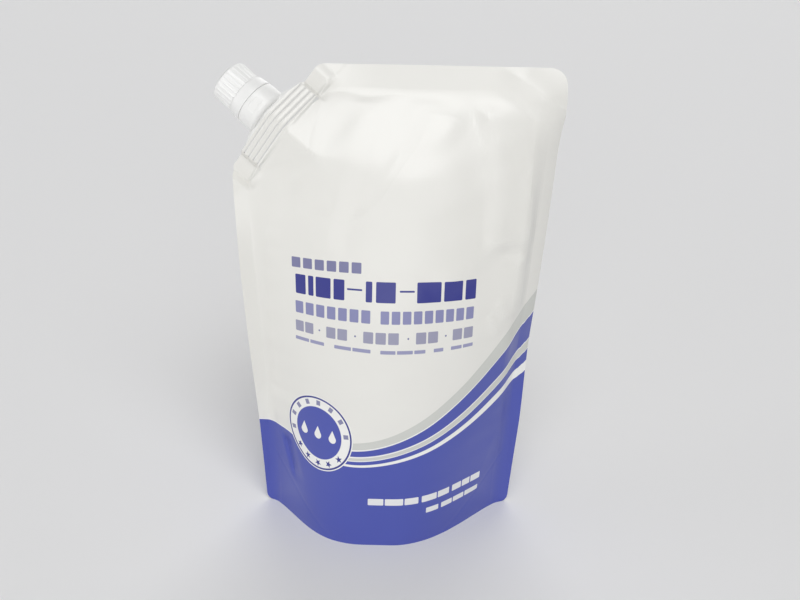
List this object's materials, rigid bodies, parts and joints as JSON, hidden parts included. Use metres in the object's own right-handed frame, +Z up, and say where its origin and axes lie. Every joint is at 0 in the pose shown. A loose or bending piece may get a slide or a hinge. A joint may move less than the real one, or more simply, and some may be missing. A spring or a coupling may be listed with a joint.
{
  "type": "spouted refill pouch",
  "caption": "Filled stand-up film pouch for liquid laundry detergent, with a ribbed corner spout and a screw cap that turns off.",
  "frame": {"origin": "middle of the flat patch of the folded bottom that the pouch stands on", "axes": "+Z up, front face towards -Y, +X to the right seen from the front; the spout is at the upper left"},
  "size_m": [0.1865, 0.0919, 0.2542],
  "materials": {
    "film": "white printed laminate film with blue and grey bands, satin gloss",
    "spout_plastic": "natural white moulded polyethylene",
    "band_plastic": "white moulded plastic",
    "cap_plastic": "white moulded polypropylene, satin",
    "liner_foam": "pale foam sheet"
  },
  "bodies": {
    "pack": {"pouch": "film", "spout": "spout_plastic", "tamper_band": "band_plastic"},
    "liner": {"cap_liner": "liner_foam"},
    "cap": {"cap": "cap_plastic"}
  },
  "joints": [
    {"name": "cap_lift", "type": "slide", "parent": "pack", "child": "liner", "axis": [-0.7519, 0.4107, 0.5157], "range_m": [0, 0.0097]},
    {"name": "cap_turn", "type": "hinge", "parent": "liner", "child": "cap", "pos_m": [-0.0875, 0.0364, 0.24071], "axis": [-0.7519, 0.4107, 0.5157], "range_deg": [0, 1080]}
  ],
  "couplings": [
    {"joint": "cap_lift", "follows": "cap_turn", "m_per_rad": 0.0005093}
  ]
}
